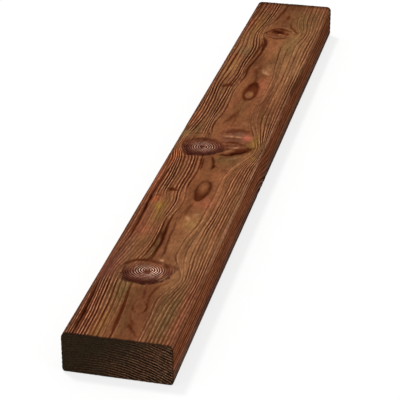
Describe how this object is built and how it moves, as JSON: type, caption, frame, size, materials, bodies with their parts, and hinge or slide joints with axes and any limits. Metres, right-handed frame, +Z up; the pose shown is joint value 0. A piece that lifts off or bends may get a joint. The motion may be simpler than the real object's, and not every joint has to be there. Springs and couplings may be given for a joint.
{
  "type": "decking board",
  "caption": "Planed softwood deck board with eased long edges, square sawn ends, a brown stain and dark end grain; lies flat on its underside.",
  "frame": {"origin": "middle of the underside, on the surface the board lies on", "axes": "+X runs along the board away from the end nearest the picture's camera, +Y runs across the board to its left long edge as seen from that end, +Z is up, out of the walking face"},
  "size_m": [0.86, 0.1, 0.04],
  "materials": {
    "stained_softwood": "brown stained softwood, planed, matt, raised grain, knots, dark end grain"
  },
  "bodies": {
    "root": {"deck_board": "stained_softwood"}
  },
  "joints": []
}
